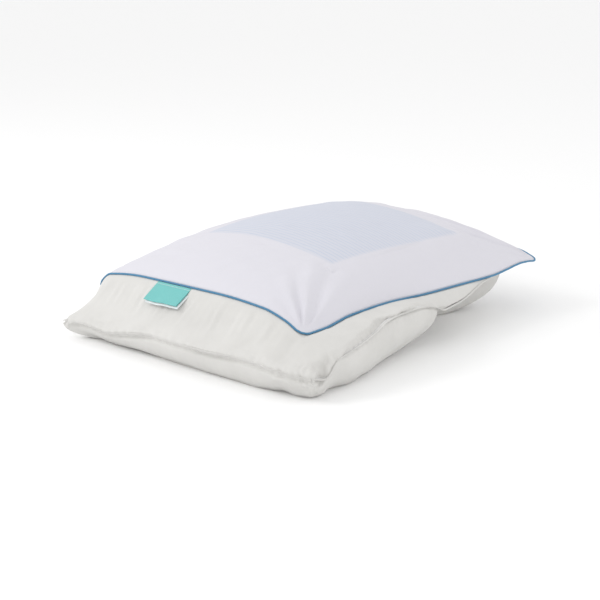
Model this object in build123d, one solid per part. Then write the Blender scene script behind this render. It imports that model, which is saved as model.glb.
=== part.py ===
from build123d import *
import math
import os

# A bed pillow: a fibre-filled inner pillow under a piped cover panel with a cooling gel pad.
# Millimetres. X runs along the long side, the label is on the short end at -X,
# Y runs along the short side, +Z is up. The origin is on the floor under the middle.

# Inner pillow, outline at the side seam.
INNER_NEAR_X = -337.0
INNER_FAR_X = 297.0
INNER_END_BOW = 6.0
INNER_RIGHT_NEAR_Y = -276.0
INNER_RIGHT_FAR_Y = -206.0
INNER_RIGHT_BOW = 14.0
INNER_LEFT_NEAR_Y = 252.0
INNER_LEFT_FAR_Y = 222.0
INNER_LEFT_BOW = 20.0
CORNER_PULL = 0.035
SEAM_Z_NEAR = 31.0
SEAM_Z_FAR = 70.0
SEAM_Z_SIDE_RISE = 8.0
SEAM_TOP_GAP = 1.0
SEAM_UNDER_GAP = 2.0
SHELL_SPLIT_GAP = 0.9
SHELL_THICKNESS = 0.6
TRAY_WALL = 0.8
BELOW_FLOOR = 9.0
END_RISE = 150.0
END_RISE_LENGTH = 205.0
SIDE_RISE = 184.0
SIDE_RISE_LENGTH = 153.0
CROWN_Z = 164.5
CROWN_X = 48.0
CROWN_Y = 31.5
CROWN_FALL_X = 40.7
CROWN_FALL_Y = 74.0
CROWN_POWER_X = 3.1
CROWN_POWER_Y = 2.9
BLEND_POWER = 8.0
LOWEST_SLOPE_SHARE = 0.22
UNDER_SLOPE_END = 44.0
UNDER_SLOPE_SIDE_NEAR = 46.0
UNDER_SLOPE_SIDE_FAR = 95.0
FILL_INSET = 14.0
ALLOWANCE_WIDTH = 11.0
ALLOWANCE_SCALE = 0.99
ALLOWANCE_LOW = -0.6
ALLOWANCE_HIGH = -0.2
OVERLOCK_HALF = 0.7

# Cover panel: its four corners, the rise of its edges and its dome.
CORNER_LEFT_NEAR = (-268.0, 250.0, 71.0)
CORNER_RIGHT_NEAR = (-270.0, -202.0, 76.0)
CORNER_RIGHT_FAR = (334.0, -216.0, 80.0)
CORNER_LEFT_FAR = (330.0, 236.0, 80.0)
COVER_CORNERS = (CORNER_LEFT_NEAR, CORNER_RIGHT_NEAR, CORNER_RIGHT_FAR, CORNER_LEFT_FAR)
EDGE_RISE_NEAR = 35.8
EDGE_RISE_FAR = 21.5
EDGE_RISE_RIGHT = 9.0
EDGE_RISE_LEFT = 15.3
DOME_RISE = 62.2
DOME_POWER_X = 2.94
DOME_POWER_Y = 1.8
DOME_FULLNESS = 0.74
DOME_SHIFT_X = 0.126
DOME_SHIFT_Y = 0.079
COVER_THICKNESS = 0.6
FACING_WIDTH = 12.0
COVER_CORNER_RADIUS = 14.0

# Piping round the cover.
PIPING_RADIUS = 2.0
SLEEVE_WALL = 0.45
CORD_RADIUS = 1.45
PIPING_OUT = 2.4
PIPING_JOIN_GAP = 1.0
CORNER_STATIONS = 7
SIDE_STATIONS = 16

# Cooling gel pad under the cover.
PAD_MIN_X = -131.0
PAD_MAX_X = 185.0
PAD_MIN_Y = -138.0
PAD_MAX_Y = 133.0
GEL_STRIP_COUNT = 19
GEL_STRIP_GAP = 1.6
GEL_END_MARGIN = 4.0
GEL_SIDE_MARGIN = 8.0
PAD_STITCH_INSET = 5.0
PAD_STITCH_WIDTH = 1.2

# Labels sewn under the piping on the near end.
LABEL_CENTRE_Y = 60.8
LABEL_WIDTH = 74.0
LABEL_LENGTH = 37.0
LABEL_PLY = 0.35
LABEL_FOLD_GAP = 0.7
LABEL_START = 3.2
LABEL_DROOP_DEG = 33.0
CARE_SHIFT_Y = -4.0
CARE_LENGTH = 41.0
CARE_PLY = 0.3
LABEL_STITCHES = 24
LABEL_STITCH_SHARE = 0.7

# Stitches.
CLOSING_STITCHES = 30
CLOSING_LENGTH = 170.0
CLOSING_THREAD_RADIUS = 0.3
CLOSING_STITCH_HEIGHT = 3.0
CLOSING_OUT = 0.7
TACK_POINTS = ((-0.52, 0.66), (-0.52, -0.58), (0.76, 0.66), (0.76, -0.66))
TACK_RADIUS = 1.0

# Moves everything so that the origin is under the middle of the whole pillow.
CENTRE_SHIFT_X = 1.7
CENTRE_SHIFT_Y = 6.25

# Clearance between pieces that are not joined, and a height above everything.
SAFE_GAP = 0.3
FILL_GAP = 1.2
TALL = 500.0

# Points each way in a surface grid.
GRID = 29


def spread(count):
    """Values from -1 to 1, closer together near both ends."""
    return [math.sin(math.pi / 2 * (2 * i / (count - 1) - 1)) for i in range(count)]


def mix(a, b, t):
    """A value between a and b."""
    return a + (b - a) * t


def ramp(distance, length, power):
    """0 at the seam, rising smoothly to 1 at the given length inside it."""
    t = min(max(distance / length, 0.0), 1.0)
    return 1 - (1 - t) ** power


def cover_edge_fraction(value, low, high):
    """Where a coordinate lies on the cover, from -1 to 1."""
    return min(max((2 * value - low - high) / (high - low), -1.0), 1.0)


def cover_height(u, v):
    """Height of the cover's underside at u along X and v along Y, both -1 to 1."""
    near = (1 - u) / 2
    right = (1 - v) / 2
    z_near = mix(CORNER_LEFT_NEAR[2], CORNER_RIGHT_NEAR[2], right)
    z_far = mix(CORNER_LEFT_FAR[2], CORNER_RIGHT_FAR[2], right)
    z = mix(z_far, z_near, near)
    z += mix(EDGE_RISE_FAR, EDGE_RISE_NEAR, near) * (1 - abs(v) ** 6)
    z += mix(EDGE_RISE_LEFT, EDGE_RISE_RIGHT, right) * (1 - abs(u) ** 2.5)
    shifted_u = u - DOME_SHIFT_X * (1 - u * u)
    shifted_v = v - DOME_SHIFT_Y * (1 - v * v)
    dome = (1 - abs(shifted_u) ** DOME_POWER_X) * (1 - abs(shifted_v) ** DOME_POWER_Y)
    return z + DOME_RISE * max(dome, 0.0) ** DOME_FULLNESS


def cover_point(u, v):
    """A point on the cover's underside."""
    near = (1 - u) / 2
    right = (1 - v) / 2
    x = mix(
        mix(CORNER_LEFT_FAR[0], CORNER_RIGHT_FAR[0], right),
        mix(CORNER_LEFT_NEAR[0], CORNER_RIGHT_NEAR[0], right),
        near,
    )
    y = mix(
        mix(CORNER_LEFT_FAR[1], CORNER_RIGHT_FAR[1], right),
        mix(CORNER_LEFT_NEAR[1], CORNER_RIGHT_NEAR[1], right),
        near,
    )
    return Vector(x, y, cover_height(u, v))


def cover_height_over(x, y):
    """Height of the cover's underside over a floor point, held level past its edges."""
    u = cover_edge_fraction(x, CORNER_LEFT_NEAR[0], CORNER_LEFT_FAR[0])
    far = (1 + u) / 2
    low = mix(CORNER_RIGHT_NEAR[1], CORNER_RIGHT_FAR[1], far)
    high = mix(CORNER_LEFT_NEAR[1], CORNER_LEFT_FAR[1], far)
    return cover_height(u, cover_edge_fraction(y, low, high))


def inner_plan(u, v):
    """Floor position of a point of the inner pillow, u and v from -1 to 1."""
    far = (1 + u) / 2
    x = mix(INNER_NEAR_X, INNER_FAR_X, far) + INNER_END_BOW * u * (1 - v * v)
    bulge = 1 - u * u
    right = mix(INNER_RIGHT_NEAR_Y, INNER_RIGHT_FAR_Y, far) - INNER_RIGHT_BOW * bulge
    left = mix(INNER_LEFT_NEAR_Y, INNER_LEFT_FAR_Y, far) + INNER_LEFT_BOW * bulge
    y = mix(right, left, (1 + v) / 2)
    pull = 1 - CORNER_PULL * (abs(u) * abs(v)) ** 8
    return x * pull, y * pull


def inner_distances(u, v):
    """How far a point lies inside the nearer end seam and the nearer side seam."""
    half_length = (INNER_FAR_X - INNER_NEAR_X) / 2
    half_width = (inner_plan(u, 1)[1] - inner_plan(u, -1)[1]) / 2
    return half_length * (1 - abs(u)), half_width * (1 - abs(v))


def seam_height(u, v):
    """Height of the side seam, carried across the pillow between its edges."""
    far = max((1 + u) / 2, 0.0)
    return mix(SEAM_Z_NEAR, SEAM_Z_FAR, far ** 0.8) + SEAM_Z_SIDE_RISE * (1 - u * u) * v * v


def smooth_low(*values):
    """The lowest of some positive values, rounded where two are close."""
    total = sum(max(value, 0.001) ** -BLEND_POWER for value in values)
    return total ** (-1 / BLEND_POWER)


def smooth_high(*values):
    """The highest of some values above zero, rounded where two are close."""
    total = sum(max(value, 0.001) ** BLEND_POWER for value in values)
    return total ** (1 / BLEND_POWER)


def top_height(u, v):
    """Height of the inner pillow's top face: end slope, side slope and crown blended together."""
    x, y = inner_plan(u, v)
    end, side = inner_distances(u, v)
    seam = seam_height(u, v)
    fall_x = CROWN_FALL_X * abs((x - CROWN_X) / 300) ** CROWN_POWER_X
    fall_y = CROWN_FALL_Y * abs((y - CROWN_Y) / 230) ** CROWN_POWER_Y
    edge_rise = smooth_low(
        END_RISE * ramp(end, END_RISE_LENGTH, 1.5),
        SIDE_RISE * ramp(side, SIDE_RISE_LENGTH, 1.5),
    )
    crown_rise = smooth_high(CROWN_Z - fall_x - fall_y - seam, LOWEST_SLOPE_SHARE * edge_rise)
    return seam + SEAM_TOP_GAP + smooth_low(edge_rise, crown_rise)


def under_height(u, v):
    """Height of the inner pillow's underside, which runs below the floor in the middle."""
    end, side = inner_distances(u, v)
    start = seam_height(u, v) - SEAM_UNDER_GAP
    side_length = mix(UNDER_SLOPE_SIDE_NEAR, UNDER_SLOPE_SIDE_FAR, (1 + u) / 2)
    curve = ramp(end, UNDER_SLOPE_END, 2.5) * ramp(side, side_length, 2.5)
    return start - (start + BELOW_FLOOR) * curve


def surface(height, scale=1.0, lift=0.0):
    """A face over the inner pillow's outline, shrunk by scale and lifted."""
    rows = []
    for u in spread(GRID):
        row = []
        for v in spread(GRID):
            x, y = inner_plan(u * scale, v * scale)
            row.append(Vector(x, y, height(u * scale, v * scale) + lift))
        rows.append(row)
    return Face.make_surface_from_array_of_points(rows, tol=0.02)


def cover_surface(drop):
    """A face that follows the cover's underside, the given distance below it."""
    rows = []
    for u in spread(GRID):
        rows.append([cover_point(u, v) - Vector(0, 0, drop) for v in spread(GRID)])
    return Face.make_surface_from_array_of_points(rows, tol=0.02)


def sheet(face, thickness):
    """A thin solid made by raising a face."""
    return Solid.extrude(face, Vector(0, 0, thickness))


def block(x_min, x_max, y_min, y_max, z_min, z_max):
    """A box between the given limits."""
    box = Box(x_max - x_min, y_max - y_min, z_max - z_min)
    return Pos((x_min + x_max) / 2, (y_min + y_max) / 2, (z_min + z_max) / 2) * box


def inner_column(scale):
    """A tall column whose outline is the inner pillow's outline, shrunk by scale."""
    return Solid.extrude(surface(lambda u, v: 0.0, scale), Vector(0, 0, TALL))


def inner_shell_top():
    """Upper fabric of the inner pillow."""
    return sheet(surface(top_height, lift=-SHELL_THICKNESS), SHELL_THICKNESS)


def under_body(scale, lift, floor):
    """The space above the underside surface, cut level at the given floor height."""
    body = Solid.extrude(surface(under_height, scale, lift), Vector(0, 0, TALL))
    return body - block(-TALL, TALL, -TALL, TALL, -TALL, floor)


def inner_shell_bottom():
    """Lower fabric of the inner pillow, flat where it lies on the bed."""
    outer = under_body(1.0, 0.0, 0.0)
    hollow = under_body(0.9965, TRAY_WALL, TRAY_WALL)
    lid = Solid.extrude(surface(seam_height, 1.02, -SHELL_SPLIT_GAP), Vector(0, 0, TALL))
    return outer - hollow - lid


def fibre_fill():
    """Polyester fibre that fills the inner pillow."""
    half_length = (INNER_FAR_X - INNER_NEAR_X) / 2
    scale = 1 - FILL_INSET / half_length
    lower = under_body(scale, TRAY_WALL + 1.4, TRAY_WALL + SAFE_GAP)
    over = Solid.extrude(surface(top_height, 0.995, -SHELL_THICKNESS - FILL_GAP), Vector(0, 0, TALL))
    return lower - over


def seam_ring(outer_scale, inner_scale, low, high):
    """A flat ring inside the inner pillow, from low to high above its side seam."""
    return sheet(surface(seam_height, outer_scale, low), high - low) - inner_column(inner_scale)


def seam_allowance():
    """The turned-in fabric edges of the side seam."""
    inner = 1 - ALLOWANCE_WIDTH / ((INNER_FAR_X - INNER_NEAR_X) / 2)
    return seam_ring(ALLOWANCE_SCALE, inner, ALLOWANCE_LOW, ALLOWANCE_HIGH)


def overlock_thread():
    """The overlock thread round the inner edge of the seam allowance."""
    outer = 1 - (ALLOWANCE_WIDTH + SAFE_GAP) / ((INNER_FAR_X - INNER_NEAR_X) / 2)
    return seam_ring(outer, outer - 0.006, -OVERLOCK_HALF, OVERLOCK_HALF)


def closing_stitches():
    """The line of stitches that closes the filling gap at the far end."""
    half_width = (inner_plan(1, 1)[1] - inner_plan(1, -1)[1]) / 2
    pitch = CLOSING_LENGTH / CLOSING_STITCHES / half_width
    stitches = []
    for index in range(CLOSING_STITCHES):
        v = (index - (CLOSING_STITCHES - 1) / 2) * pitch
        x, y = inner_plan(1, v)
        stitch = Cylinder(CLOSING_THREAD_RADIUS, CLOSING_STITCH_HEIGHT)
        stitches.append(Pos(x + CLOSING_OUT, y, seam_height(1, v)) * stitch)
    return Compound(stitches)


def cover_outline(inset):
    """The cover's outline on the floor, shrunk by the inset, with rounded corners."""
    shape = Polygon(*[(corner[0], corner[1]) for corner in COVER_CORNERS], align=None)
    shape = fillet(shape.vertices(), COVER_CORNER_RADIUS)
    return offset(shape, amount=-inset) if inset else shape


def cover_column(inset):
    """A tall column over the cover's outline, shrunk by the inset."""
    return extrude(cover_outline(inset), TALL)


def cover_top_panel():
    """Top panel of the cover."""
    return sheet(cover_surface(0.0), COVER_THICKNESS) & cover_column(0)


def cover_edge_facing():
    """The hem turned under along the cover's edge, which holds the piping."""
    strip = sheet(cover_surface(0.8), 0.5) & cover_column(0.3)
    return strip - cover_column(FACING_WIDTH)


def piping_plan():
    """Floor points along the piping, from its join at the middle of the far end and back to it."""
    corners = [Vector(corner[0], corner[1]) for corner in COVER_CORNERS]
    points = []
    for index, corner in enumerate(corners):
        following = corners[(index + 1) % 4]
        before = (corner - corners[index - 1]).normalized()
        after = (following - corner).normalized()
        centre = corner + (after - before) * COVER_CORNER_RADIUS
        for step in range(CORNER_STATIONS):
            angle = math.pi / 2 * step / (CORNER_STATIONS - 1)
            outward = before * math.sin(angle) - after * math.cos(angle)
            points.append(centre + outward * (COVER_CORNER_RADIUS + PIPING_OUT))
        length = (following - corner).length - 2 * COVER_CORNER_RADIUS
        for step in range(1, SIDE_STATIONS):
            along = COVER_CORNER_RADIUS + length * step / SIDE_STATIONS
            points.append(corner + after * along + before * PIPING_OUT)
    join = 2 * (CORNER_STATIONS + SIDE_STATIONS - 1) + CORNER_STATIONS + SIDE_STATIONS // 2 - 1
    ordered = points[join:] + points[:join]
    return ordered + [ordered[0] - Vector(0, PIPING_JOIN_GAP)]


def piping_line():
    """Points along the middle of the piping."""
    line = []
    for point in piping_plan():
        line.append(Vector(point.X, point.Y, cover_height_over(point.X, point.Y) + 0.3))
    return line


def tube(radius):
    """A round solid along the piping line."""
    line = piping_line()
    sections = []
    for index, point in enumerate(line):
        along = line[min(index + 1, len(line) - 1)] - line[max(index - 1, 0)]
        across = Vector(0, 0, 1).cross(along)
        sections.append(Plane(point, x_dir=across, z_dir=along) * Circle(radius))
    return loft(sections, ruled=True)


def side_face(solid):
    """The long face of a tube."""
    return [face for face in solid.faces() if face.geom_type != GeomType.PLANE]


def end_faces(solid):
    """The two flat ends of a tube."""
    return [face for face in solid.faces() if face.geom_type == GeomType.PLANE]


def piping_sleeve():
    """Bias-cut sleeve of the piping, a tube with open ring ends at its join."""
    outer = tube(PIPING_RADIUS)
    inner = tube(PIPING_RADIUS - SLEEVE_WALL)
    rings = []
    for wide, narrow in zip(end_faces(outer), end_faces(inner)):
        rings.append(Face(wide.outer_wire(), [narrow.outer_wire()]))
    return Solid(Shell(side_face(outer) + side_face(inner) + rings))


def piping_cord():
    """Filler cord inside the piping sleeve."""
    return tube(CORD_RADIUS)


def pad_block(inset):
    """A tall box over the gel pad, smaller by the inset all round."""
    x_limits = (PAD_MIN_X + inset, PAD_MAX_X - inset)
    y_limits = (PAD_MIN_Y + inset, PAD_MAX_Y - inset)
    return block(*x_limits, *y_limits, 0, TALL)


def gel_pad_film():
    """Upper film of the gel pad, just under the cover."""
    return sheet(cover_surface(1.5), 0.4) & pad_block(0)


def gel_pad_backing():
    """Fabric backing of the gel pad."""
    return sheet(cover_surface(4.6), 0.6) & pad_block(0)


def gel_strips():
    """Gel strips between the film and the backing, with channels between them."""
    layer = sheet(cover_surface(3.8), 2.1)
    pitch = (PAD_MAX_X - PAD_MIN_X - 2 * GEL_END_MARGIN) / GEL_STRIP_COUNT
    strips = []
    for index in range(GEL_STRIP_COUNT):
        start = PAD_MIN_X + GEL_END_MARGIN + index * pitch + GEL_STRIP_GAP / 2
        end = start + pitch - GEL_STRIP_GAP
        bar = block(start, end, PAD_MIN_Y + GEL_SIDE_MARGIN, PAD_MAX_Y - GEL_SIDE_MARGIN, 0, TALL)
        strips.append(layer & bar)
    return Compound(strips)


def gel_pad_stitching():
    """Stitch line that holds the gel pad to the cover."""
    line = sheet(cover_surface(1.0), 0.9)
    return (line & pad_block(PAD_STITCH_INSET)) - pad_block(PAD_STITCH_INSET + PAD_STITCH_WIDTH)


def label_pivot():
    """Middle of the piping where the labels are sewn."""
    v = cover_edge_fraction(LABEL_CENTRE_Y, CORNER_RIGHT_NEAR[1], CORNER_LEFT_NEAR[1])
    point = cover_point(-1, v)
    return Vector(point.X - PIPING_OUT, LABEL_CENTRE_Y, point.Z + 0.3)


def hanging(profile, width, shift_y):
    """Turn a flat profile into a strip that hangs out from the piping."""
    strip = extrude(Plane.XZ * profile, width / 2, both=True)
    pivot = label_pivot()
    return Pos(pivot.X, pivot.Y + shift_y, pivot.Z) * Rot(0, 180 - LABEL_DROOP_DEG, 0) * strip


def brand_label():
    """Folded ribbon label, two plies joined by the fold at its free end."""
    outer = LABEL_FOLD_GAP / 2 + LABEL_PLY
    middle = LABEL_START + LABEL_LENGTH / 2
    body = Pos(middle, 0) * Rectangle(LABEL_LENGTH, 2 * outer)
    body += Pos(LABEL_START + LABEL_LENGTH, 0) * Circle(outer)
    body -= Pos(middle - 1, 0) * Rectangle(LABEL_LENGTH + 2, LABEL_FOLD_GAP)
    body -= Pos(LABEL_START + LABEL_LENGTH, 0) * Circle(LABEL_FOLD_GAP / 2)
    return hanging(body, LABEL_WIDTH, 0)


def care_label():
    """Plain leaf behind the folded label, a little longer."""
    behind = LABEL_FOLD_GAP / 2 + LABEL_PLY + 0.6
    profile = Pos(LABEL_START + CARE_LENGTH / 2, behind) * Rectangle(CARE_LENGTH, CARE_PLY)
    return hanging(profile, LABEL_WIDTH, CARE_SHIFT_Y)


def label_stitches():
    """Row of stitches across the folded label, next to the piping."""
    outer = LABEL_FOLD_GAP / 2 + LABEL_PLY
    pitch = LABEL_WIDTH / LABEL_STITCHES
    stitches = []
    for index in range(LABEL_STITCHES):
        profile = Pos(LABEL_START + 2.5, -outer - 0.12) * Rectangle(0.5, 0.2)
        shift = (index - (LABEL_STITCHES - 1) / 2) * pitch
        stitches.append(hanging(profile, pitch * LABEL_STITCH_SHARE, shift))
    return Compound(stitches)


def tack_stitches():
    """Bar tacks that hold the cover to the inner pillow."""
    tacks = []
    for u, v in TACK_POINTS:
        x, y = inner_plan(u, v)
        low = top_height(u, v) + 0.6
        high = cover_height_over(x, y) - 0.6
        tacks.append(Pos(x, y, (low + high) / 2) * Cylinder(TACK_RADIUS, high - low))
    return Compound(tacks)


PARTS = {
    "inner_shell_top": inner_shell_top,
    "inner_shell_bottom": inner_shell_bottom,
    "fibre_fill": fibre_fill,
    "seam_allowance": seam_allowance,
    "overlock_thread": overlock_thread,
    "closing_stitches": closing_stitches,
    "cover_top_panel": cover_top_panel,
    "cover_edge_facing": cover_edge_facing,
    "piping_sleeve": piping_sleeve,
    "piping_cord": piping_cord,
    "gel_pad_film": gel_pad_film,
    "gel_pad_backing": gel_pad_backing,
    "gel_strips": gel_strips,
    "gel_pad_stitching": gel_pad_stitching,
    "brand_label": brand_label,
    "care_label": care_label,
    "label_stitches": label_stitches,
    "tack_stitches": tack_stitches,
}

os.makedirs("parts", exist_ok=True)
for node, make in PARTS.items():
    solid = Pos(CENTRE_SHIFT_X, CENTRE_SHIFT_Y, 0) * make()
    export_step(solid, f"parts/{node}.step")
    print(node, len(solid.solids()), solid.is_valid)
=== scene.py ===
import math

import bpy
import numpy as np
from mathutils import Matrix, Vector


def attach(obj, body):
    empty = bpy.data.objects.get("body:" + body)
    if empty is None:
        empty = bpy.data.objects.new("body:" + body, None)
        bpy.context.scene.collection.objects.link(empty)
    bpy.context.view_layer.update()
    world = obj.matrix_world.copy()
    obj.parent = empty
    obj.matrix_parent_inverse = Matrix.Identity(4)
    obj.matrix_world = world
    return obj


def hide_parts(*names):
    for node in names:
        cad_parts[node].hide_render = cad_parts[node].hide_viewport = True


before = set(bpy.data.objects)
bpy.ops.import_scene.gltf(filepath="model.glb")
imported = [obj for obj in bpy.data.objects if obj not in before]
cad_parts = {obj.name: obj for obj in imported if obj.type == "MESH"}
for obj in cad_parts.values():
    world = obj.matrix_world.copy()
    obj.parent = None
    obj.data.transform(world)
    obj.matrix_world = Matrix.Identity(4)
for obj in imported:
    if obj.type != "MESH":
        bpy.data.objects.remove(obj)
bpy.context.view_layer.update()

# The looks of a bed pillow: a fibre-filled inner pillow under a piped cover panel.
# Shapes are worked out in millimetres in the frame of the CAD; new_mesh turns them to metres.
# Lights, camera and materials are in metres. u runs from -1 at the near end to 1 at the far end,
# v from -1 at the right side to 1 at the left side.

MM = 0.001  # metres in a millimetre
PILLOW = "pillow"
LABEL = "label"

# Cover panel: floor positions of its corners, and the heights along its edges.
COVER_LEFT_NEAR = np.array([-266.3, 256.25])
COVER_RIGHT_NEAR = np.array([-268.3, -195.75])
COVER_RIGHT_FAR = np.array([335.7, -209.75])
COVER_LEFT_FAR = np.array([331.7, 242.25])
COVER_NEAR_X, COVER_FAR_X, COVER_LENGTH = -267.3, 333.7, 601.0
COVER_MIDDLE_Y, COVER_MIDDLE_SHIFT = 30.25, 7.0
COVER_HALF_LENGTH = 302.0
COVER_HALF_WIDTH = 226.0
COVER_CORNER_RADIUS = 14.0
COVER_THICKNESS = 0.6
COVER_STEPS = (302, 226)
CORNER_Z = (71.0, 76.0, 80.0, 80.0)  # left near, right near, right far, left far
EDGE_RISES = (35.8, 21.5, 15.3, 9.0)  # near, far, left, right
EDGE_RISE_POWERS = (6, 2.5)
NEAR_EDGE = (
    (-1.0, 77.0), (-0.85, 94.0), (-0.65, 105.0), (-0.25, 110.0), (0.5, 109.0), (0.85, 101.0),
    (0.93, 90.0), (1.0, 68.0),
)
RIGHT_EDGE = (
    (-1.0, 77.0), (-0.85, 78.0), (-0.65, 86.0), (-0.4, 88.0), (-0.05, 83.0), (0.25, 81.0),
    (0.55, 79.0), (0.85, 86.0), (1.0, 81.0),
)
EDGE_FIX_REACH = (60.0, 38.0)
DOME_RISE = 62.2
DOME_POWERS = (2.94, 1.8)
DOME_FULLNESS = 0.74
DOME_SHIFT = (0.126, 0.079)
UNDER_COVER = (1.015, 1.02)  # how far out the piping reaches, as fractions of the cover

# Inner pillow.
INNER_NEAR_X, INNER_FAR_X = -331.8, 298.7
INNER_END_BOW = 6.0
INNER_RIGHT = (-267.5, -187.75, 17.0)
INNER_LEFT = (258.25, 228.25, 20.0)
CORNER_PULL = 0.035
NEAR_LEFT_TIP = 0.022
INNER_STEPS = (150, 130)
INNER_MID_X, INNER_HALF_LENGTH = -18.3, 317.0
INNER_MIDDLE_Y, INNER_HALF_WIDTH = -5.75, 264.0
CORNER_SHARPNESS = 8
GRID_CROWDING = 0.94  # how strongly the grid crowds towards the seam
WALL_SHARE = 0.26  # part of the lower grid that the wall takes up
HUG_FROM, HUG_RANGE = 0.7, 0.3  # where the upper side follows the wall's first inset
NEAR_SEAM = (
    (-1.0, 37.0), (-0.75, 41.0), (-0.5, 46.0), (-0.2, 42.0), (0.2, 45.0), (0.45, 36.0),
    (0.65, 28.0), (0.85, 32.0), (1.0, 30.0),
)
RIGHT_SEAM = (
    (-1.0, 37.0), (-0.9, 31.0), (-0.8, 54.0), (-0.7, 58.0), (-0.5, 70.0), (-0.4, 80.0),
    (-0.3, 83.0), (-0.1, 81.0), (0.04, 72.0), (0.14, 61.0), (0.3, 62.0), (0.6, 76.0), (1.0, 82.0),
)
LEFT_SEAM = ((-1.0, 30.0), (-0.5, 46.0), (0.0, 58.0), (0.5, 66.0), (1.0, 70.0))
NEAR_FOOT = (
    (-1.0, 60.0), (-0.8, 42.0), (-0.5, 26.0), (-0.2, 28.0), (0.0, 28.0), (0.25, 33.0),
    (0.45, 42.0), (0.7, 48.0), (0.9, 75.0), (1.0, 110.0),
)
RIGHT_FOOT = (
    (-1.0, 60.0), (-0.8, 45.0), (-0.7, 40.0), (-0.55, 50.0), (-0.35, 70.0), (-0.1, 92.0),
    (0.05, 118.0), (0.3, 195.0), (1.0, 200.0),
)
LEFT_FOOT = ((-1.0, 110.0), (-0.7, 60.0), (0.0, 70.0), (1.0, 95.0))
FAR_FOOT = ((-1.0, 200.0), (-0.6, 110.0), (0.0, 80.0), (1.0, 95.0))
FAR_SEAM = ((-1.0, 82.0), (-0.7, 74.0), (-0.4, 70.0), (0.5, 70.0), (1.0, 70.0))
END_RISE, END_RISE_LENGTH = 150.0, 205.0
SIDE_RISE, SIDE_RISE_LENGTH = 184.0, 153.0
END_FULLNESS, SIDE_FULLNESS = 1.35, 1.2
RISE_POWER = 1.5
SHARE_POWER, SHARE_POWER_END = 0.8, 0.42
COVER_CLEARANCE = 3.5
FOLD_CLEARANCE = 1.5
PAD_CLEARANCE = 3.5
BLEND_POWER = 8.0

# Lower wall: a bulging flank on the right side, and a shallow wing where it leaves the bed.
WING_RANGE = (0.07, 0.17)
FLANK_CENTRE, FLANK_REACH, FLANK_START = -0.4, 0.34, 5.0
WALL_SWELL, FLANK_SWELL = 3.0, 12.0
WALL_HEIGHT, WALL_INSET = 0.42, 0.42
WING_HEIGHTS, WING_INSETS = (0.74, 0.28), (0.36, 0.66)

# Fibre: the fabric's shape, drawn in towards its middle.
FILL_CENTRE_M = np.array([0.0, 0.0, 0.07])
FILL_SCALE = np.array([0.95, 0.94, 0.94])

# Cloth simulation: frames, the furthest any point moves, and the height that counts as on the bed.
RELAX_FRAMES = 20
RELAX_CAP_M = 0.005
BED_M = 0.0005

# Gel pad, whose lines show faintly through the cover.
PAD_CENTRE = (28.7, 3.75)
PAD_HALF = (158.0, 135.5)
PAD_MARGIN, COVER_PAD_MARGIN = 25.0, 4.0
TINT_CENTRE = (29.0, -2.0)
TINT_HALF = (157.0, 130.0)
TINT_LEAN = (0.05, 0.055)
GEL_PITCH = 16.2
DASH_LENGTH = 34.0
DASH_SHIFT = 2.4  # radians from one row to the next
GEL_LINE_POWER, GEL_LINE_STRENGTH = 10.0, 0.9
TINT_SHARPNESS = 150.0

# Piping round the cover.
PIPING_RADIUS = 1.55
PIPING_OVERLAP = 0.3
PIPING_RIPPLE = 0.06
CORD_RADIUS = 1.05
PIPING_STEP = 1.6

# Hem under the cover's edge.
HEM_INSETS = (0.8, 11.0)
HEM_THICKNESS = 0.5

# Stitches along the cover's edge.
STITCH_PITCH, STITCH_INSET = 3.2, 1.6
STITCH_PROFILE = ((-1.1, 0.14), (-0.5, 0.24), (0.5, 0.24), (1.1, 0.14))  # place along it, radius
STITCH_SIDES = 6

# Bar tacks between the cover and the inner pillow.
TACK_POINTS = ((-185.0, 176.0), (-185.0, -152.0), (225.0, 163.0), (225.0, -137.0))
TACK_DEPTH, TACK_SINK, TACK_SIDES, TACK_ROWS = 7.0, 0.2, 10, 4

# Creases that fan out of the cover's corners: direction and width in degrees, height, start and end.
NEAR_FOLD_CORNER = (-268.0, -196.0)
FAR_FOLD_CORNER = (336.0, -210.0)
LEFT_FOLD_CORNER = (-266.0, 256.0)
FOLD_FADE_IN = 30
NEAR_CORNER_FOLDS = (
    (70, 6, -1.1, 10, 110), (57, 5, 2.0, 8, 150), (47, 4, -3.2, 8, 150), (36, 5, 3.2, 10, 210),
    (25, 4, -3.0, 14, 220), (15, 4, 1.8, 20, 230),
)
FAR_CORNER_FOLDS = (
    (18, 4, -1.9, 8, 190), (27, 4, 3.2, 8, 240), (36, 4, -3.8, 8, 220), (45, 4, 3.0, 10, 180),
    (54, 4, -2.5, 12, 210), (63, 4, 1.6, 12, 160),
)
LEFT_CORNER_FOLDS = ((35, 6, 1.0, 8, 170), (50, 7, -1.2, 8, 150))

# Dimple beside the near right corner, and slanting pulls on the right side of the far end.
DIMPLE_X, DIMPLE_Y, DIMPLE_DEPTH = (-205, 26), (-158, 20), 4.0
PULL_CENTRE, PULL_DIRECTION, PULL_REACH = (268.0, -95.0), (0.80, 0.60), (52, 75)
PULL_WAVES = ((3.0, 0.17, 0.0), (2.0, 0.33, 1.0))  # height, turns, phase
# Puckers at the cover's seam, the filling's slow unevenness, and faint crumples all over.
PUCKER, PUCKER_REACH, SLOW, CRUMPLE = 0.3, 9.0, 1.2, 0.9

# Wrinkles of the inner pillow: heights along its normal.
STREAKS, LUMPS, RIDGE, CREASE, NEAR_PUCKERS = 1.4, 2.6, 2.6, 3.6, 0.6
GATHERS, SIDE_CREASE, SIDE_LUMPS, BULB_PUCKERS, NOTCH = 0.8, 2.0, 2.2, 0.5, 5.0
PLEAT, BULGE = 6.5, 3.0
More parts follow.
